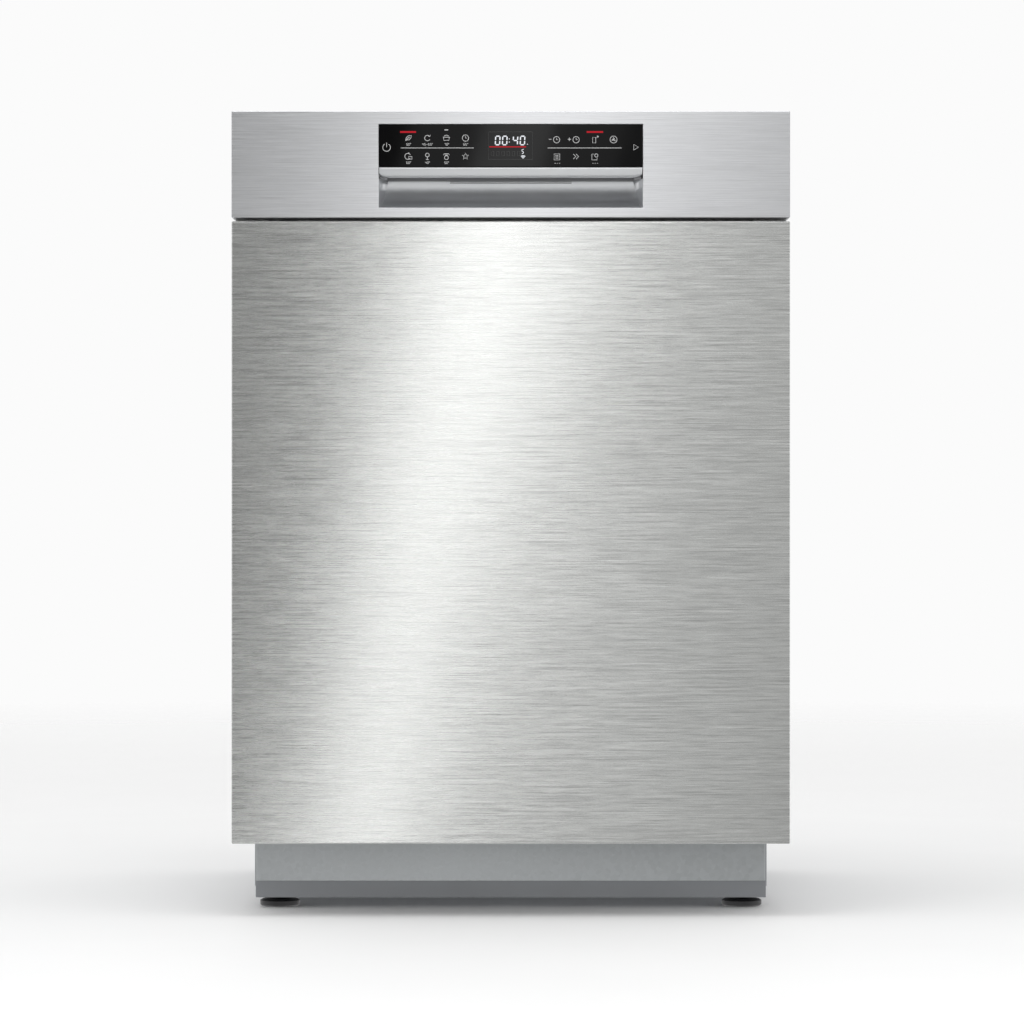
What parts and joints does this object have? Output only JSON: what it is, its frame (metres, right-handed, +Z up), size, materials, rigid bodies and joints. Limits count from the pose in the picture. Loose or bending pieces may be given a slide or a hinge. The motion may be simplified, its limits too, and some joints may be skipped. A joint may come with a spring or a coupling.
{
  "type": "built-in dishwasher",
  "caption": "Sixty-centimetre built-in dishwasher with a brushed steel drop-down door, a control strip with a finger recess, and pull-out racks inside.",
  "frame": {"origin": "on the floor, under the middle of the machine's bounding box", "axes": "+Z up; -Y out of the door's front; +X to the right of someone facing the door"},
  "size_m": [0.598, 0.573, 0.865],
  "materials": {
    "brushed_steel": "horizontally brushed stainless steel with a clear anti-fingerprint coat",
    "fine_brushed_steel": "finely brushed stainless steel",
    "stainless_steel": "bright drawn stainless steel",
    "galvanised_steel": "galvanised sheet steel",
    "spring_steel": "oiled spring steel",
    "silver_trim": "satin silver",
    "black_glass": "polished black glass with printed icons",
    "display": "dark display with white and red segments",
    "circuit_board": "green solder mask",
    "grey_plastic": "moulded polypropylene",
    "black_plastic": "moulded, fine grain",
    "white_plastic": "moulded, semi-matt",
    "coated_wire": "steel wire with a nylon coat",
    "rubber": "extruded black rubber",
    "insulation_felt": "pressed fibre mat"
  },
  "bodies": {
    "cabinet": {"base_tray": "grey_plastic", "kick_plate": "galvanised_steel", "sump": "grey_plastic", "circulation_pump": "black_plastic", "drain_pump": "black_plastic", "water_softener": "white_plastic", "heat_exchanger": "white_plastic", "inlet_valve": "white_plastic", "tub": "stainless_steel", "tub_seal": "rubber", "side_panel_left": "galvanised_steel", "side_panel_right": "galvanised_steel", "rear_panel": "galvanised_steel", "top_brace": "galvanised_steel", "top_insulation": "insulation_felt", "feed_pipe": "grey_plastic", "filter_plate": "stainless_steel", "hinge_bracket_left": "galvanised_steel", "hinge_bracket_right": "galvanised_steel", "door_spring_left": "spring_steel", "door_spring_right": "spring_steel", "upper_rail_left": "stainless_steel", "upper_rail_right": "stainless_steel", "cutlery_rail_left": "stainless_steel", "cutlery_rail_right": "stainless_steel"},
    "door": {"door_panel": "brushed_steel", "door_insulation": "insulation_felt", "door_liner": "stainless_steel", "door_latch": "black_plastic", "dispenser_body": "grey_plastic", "fascia": "fine_brushed_steel", "control_glass": "black_glass", "display_module": "display", "control_board": "circuit_board", "handle_bar": "silver_trim", "handle_shell": "silver_trim", "hinge_arm_left": "spring_steel", "hinge_arm_right": "spring_steel"},
    "foot_front_left": {"foot_front_left": "black_plastic"},
    "foot_front_right": {"foot_front_right": "black_plastic"},
    "foot_rear": {"foot_rear": "black_plastic"},
    "filter_cylinder": {"filter_cylinder": "grey_plastic"},
    "salt_cap": {"salt_cap": "grey_plastic"},
    "lower_spray_arm": {"lower_spray_arm": "grey_plastic"},
    "dispenser_lid": {"dispenser_lid": "white_plastic"},
    "rinse_aid_cap": {"rinse_aid_cap": "white_plastic"},
    "lower_basket": {"lower_basket": "coated_wire"},
    "lower_tines_front": {"lower_tines_front": "coated_wire"},
    "lower_tines_rear": {"lower_tines_rear": "coated_wire"},
    "wheel_front_left": {"wheel_front_left": "grey_plastic"},
    "wheel_front_right": {"wheel_front_right": "grey_plastic"},
    "wheel_rear_left": {"wheel_rear_left": "grey_plastic"},
    "wheel_rear_right": {"wheel_rear_right": "grey_plastic"},
    "upper_basket": {"upper_basket": "coated_wire"},
    "upper_spray_arm": {"upper_spray_arm": "grey_plastic"},
    "upper_tines": {"upper_tines": "coated_wire"},
    "cup_shelf": {"cup_shelf": "grey_plastic"},
    "upper_runner_left": {"upper_runner_left": "stainless_steel"},
    "upper_runner_right": {"upper_runner_right": "stainless_steel"},
    "cutlery_drawer": {"cutlery_drawer": "grey_plastic"}
  },
  "joints": [
    {"name": "door_hinge", "type": "hinge", "parent": "cabinet", "child": "door", "pos_m": [0, -0.262, 0.15], "axis": [1, 0, 0], "range_deg": [0, 90], "stiffness_Nm_per_rad": 21, "springref_deg": -5.16, "deforming": ["door_spring_left", "door_spring_right"]},
    {"name": "lower_basket_slide", "type": "slide", "parent": "cabinet", "child": "lower_basket", "axis": [0, -1, 0], "range_m": [0, 0.185]},
    {"name": "upper_basket_slide", "type": "slide", "parent": "cabinet", "child": "upper_basket", "axis": [0, -1, 0], "range_m": [0, 0.48]},
    {"name": "upper_runner_left_slide", "type": "slide", "parent": "cabinet", "child": "upper_runner_left", "axis": [0, -1, 0], "range_m": [0, 0.24]},
    {"name": "upper_runner_right_slide", "type": "slide", "parent": "cabinet", "child": "upper_runner_right", "axis": [0, -1, 0], "range_m": [0, 0.24]},
    {"name": "cutlery_drawer_slide", "type": "slide", "parent": "cabinet", "child": "cutlery_drawer", "axis": [0, -1, 0], "range_m": [0, 0.455]},
    {"name": "lower_spray_arm_spin", "type": "hinge", "parent": "cabinet", "child": "lower_spray_arm", "pos_m": [0, 0.015, 0.195], "axis": [0, 0, 1], "continuous": true},
    {"name": "upper_spray_arm_spin", "type": "hinge", "parent": "upper_basket", "child": "upper_spray_arm", "pos_m": [0, 0, 0.495], "axis": [0, 0, 1], "continuous": true},
    {"name": "filter_cylinder_turn", "type": "hinge", "parent": "cabinet", "child": "filter_cylinder", "pos_m": [0.075, -0.055, 0.13], "axis": [0, 0, 1], "range_deg": [0, 90]},
    {"name": "salt_cap_turn", "type": "hinge", "parent": "cabinet", "child": "salt_cap", "pos_m": [-0.175, 0.115, 0.176], "axis": [0, 0, 1], "range_deg": [0, 360]},
    {"name": "dispenser_lid_slide", "type": "slide", "parent": "door", "child": "dispenser_lid", "axis": [0, 0, 1], "range_m": [0, 0.058]},
    {"name": "rinse_aid_cap_hinge", "type": "hinge", "parent": "door", "child": "rinse_aid_cap", "pos_m": [0.056, -0.231, 0.461], "axis": [1, 0, 0], "range_deg": [0, 100]},
    {"name": "lower_tines_front_fold", "type": "hinge", "parent": "lower_basket", "child": "lower_tines_front", "pos_m": [0, -0.06, 0.223], "axis": [1, 0, 0], "range_deg": [0, 90]},
    {"name": "lower_tines_rear_fold", "type": "hinge", "parent": "lower_basket", "child": "lower_tines_rear", "pos_m": [0, 0.09, 0.223], "axis": [1, 0, 0], "range_deg": [0, 90]},
    {"name": "upper_tines_fold", "type": "hinge", "parent": "upper_basket", "child": "upper_tines", "pos_m": [0.06, 0, 0.528], "axis": [0, 1, 0], "range_deg": [0, 90]},
    {"name": "cup_shelf_fold", "type": "hinge", "parent": "upper_basket", "child": "cup_shelf", "pos_m": [-0.228, -0.01, 0.6075], "axis": [0, -1, 0], "range_deg": [0, 85]},
    {"name": "foot_front_left_screw", "type": "slide", "parent": "cabinet", "child": "foot_front_left", "axis": [0, 0, -1], "range_m": [0, 0.06]},
    {"name": "foot_front_right_screw", "type": "slide", "parent": "cabinet", "child": "foot_front_right", "axis": [0, 0, -1], "range_m": [0, 0.06]},
    {"name": "foot_rear_screw", "type": "slide", "parent": "cabinet", "child": "foot_rear", "axis": [0, 0, -1], "range_m": [0, 0.06]},
    {"name": "wheel_front_left_roll", "type": "hinge", "parent": "lower_basket", "child": "wheel_front_left", "pos_m": [-0.2515, -0.1, 0.2], "axis": [1, 0, 0], "range_deg": [0, 540]},
    {"name": "wheel_rear_left_roll", "type": "hinge", "parent": "lower_basket", "child": "wheel_rear_left", "pos_m": [-0.2515, 0.18, 0.2], "axis": [1, 0, 0], "range_deg": [0, 540]},
    {"name": "wheel_front_right_roll", "type": "hinge", "parent": "lower_basket", "child": "wheel_front_right", "pos_m": [0.2515, -0.1, 0.2], "axis": [1, 0, 0], "range_deg": [0, 540]},
    {"name": "wheel_rear_right_roll", "type": "hinge", "parent": "lower_basket", "child": "wheel_rear_right", "pos_m": [0.2515, 0.18, 0.2], "axis": [1, 0, 0], "range_deg": [0, 540]}
  ],
  "couplings": [
    {"joint": "lower_basket_slide", "follows": "door_hinge", "m_per_rad": 0.115},
    {"joint": "upper_basket_slide", "follows": "door_hinge", "m_per_rad": 0.3},
    {"joint": "upper_runner_left_slide", "follows": "door_hinge", "m_per_rad": 0.15},
    {"joint": "upper_runner_right_slide", "follows": "door_hinge", "m_per_rad": 0.15},
    {"joint": "cutlery_drawer_slide", "follows": "door_hinge", "m_per_rad": 0.285},
    {"joint": "wheel_front_left_roll", "follows": "door_hinge", "ratio": 5.8376},
    {"joint": "wheel_rear_left_roll", "follows": "door_hinge", "ratio": 5.8376},
    {"joint": "wheel_front_right_roll", "follows": "door_hinge", "ratio": 5.8376},
    {"joint": "wheel_rear_right_roll", "follows": "door_hinge", "ratio": 5.8376}
  ]
}
